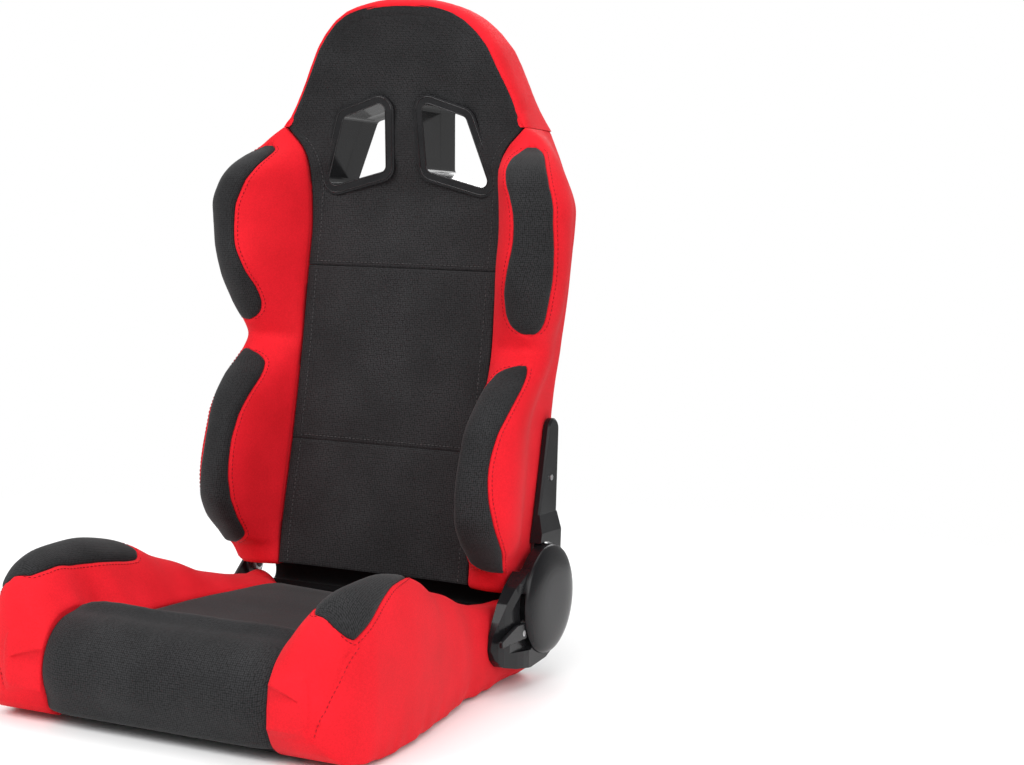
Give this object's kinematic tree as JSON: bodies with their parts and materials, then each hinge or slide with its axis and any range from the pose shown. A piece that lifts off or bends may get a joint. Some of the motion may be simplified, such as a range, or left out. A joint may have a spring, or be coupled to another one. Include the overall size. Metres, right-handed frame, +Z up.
{
  "type": "racing seat",
  "caption": "Reclining bucket seat with deep side bolsters, harness slots, a ratchet recliner with lever on one side and a plain hinge on the other.",
  "frame": {"origin": "middle of the four mounting holes, on the underside of the foot plates", "axes": "+Z up, -Y towards the front of the seat, +X towards the recliner side (the occupant's left)"},
  "size_m": [0.5472, 0.6597, 0.9124],
  "materials": {
    "red_knit": "matte knit with top-stitched seams",
    "black_knit": "fine spacer-mesh knit",
    "black_plastic": "satin moulded",
    "black_steel": "semi-gloss paint",
    "frame_steel": "powder coat",
    "bright_steel": "zinc plated"
  },
  "bodies": {
    "base": {"base_frame": "frame_steel", "weld_nuts": "bright_steel", "seat_wires": "bright_steel", "seat_pad": "black_knit", "front_roll": "black_knit", "base_bolster_left": "red_knit", "base_bolster_right": "red_knit", "bolster_tip_left": "black_knit", "bolster_tip_right": "black_knit", "base_rear_panel": "black_knit", "recliner_plate": "black_steel", "hinge_plate": "black_steel", "plate_bolts": "bright_steel", "recliner_cover": "black_plastic", "cover_screws": "bright_steel", "spiral_spring": "bright_steel", "pawl_pin": "bright_steel"},
    "backrest": {"back_frame": "frame_steel", "back_wires": "bright_steel", "centre_pad": "black_knit", "head_pad": "black_knit", "head_border": "red_knit", "back_bolster_left": "red_knit", "back_bolster_right": "red_knit", "upper_insert_left": "black_knit", "upper_insert_right": "black_knit", "lower_insert_left": "black_knit", "lower_insert_right": "black_knit", "rear_panel": "black_knit", "slot_bezel_front_left": "black_plastic", "slot_bezel_front_right": "black_plastic", "slot_bezel_rear_left": "black_plastic", "slot_bezel_rear_right": "black_plastic", "recliner_arm": "black_steel", "hinge_arm": "black_steel", "arm_bolts": "bright_steel", "arm_cover": "black_plastic", "arm_cover_screw": "bright_steel", "pivot_pin": "bright_steel", "pivot_clip": "bright_steel", "hinge_bolt": "black_steel", "hinge_nut": "bright_steel"},
    "lever": {"lever_shaft": "bright_steel", "lever_tang": "black_steel", "lever_grip": "black_plastic", "lever_screw": "bright_steel"},
    "pawl": {"pawl": "black_steel"}
  },
  "joints": [
    {"name": "back_recline", "type": "hinge", "parent": "base", "child": "backrest", "pos_m": [0, 0.248, 0.112], "axis": [1, 0, 0], "range_deg": [-62, 14], "deforming": ["spiral_spring"]},
    {"name": "lever_lift", "type": "hinge", "parent": "base", "child": "lever", "pos_m": [0.235, 0.203, 0.084], "axis": [-1, 0, 0], "range_deg": [0, 25], "stiffness_Nm_per_rad": 0.6, "springref_deg": -11.46},
    {"name": "pawl_swing", "type": "hinge", "parent": "base", "child": "pawl", "pos_m": [0.2245, 0.24, 0.052], "axis": [1, 0, 0], "range_deg": [0, 6]}
  ],
  "couplings": [
    {"joint": "pawl_swing", "follows": "lever_lift", "ratio": 0.24}
  ]
}
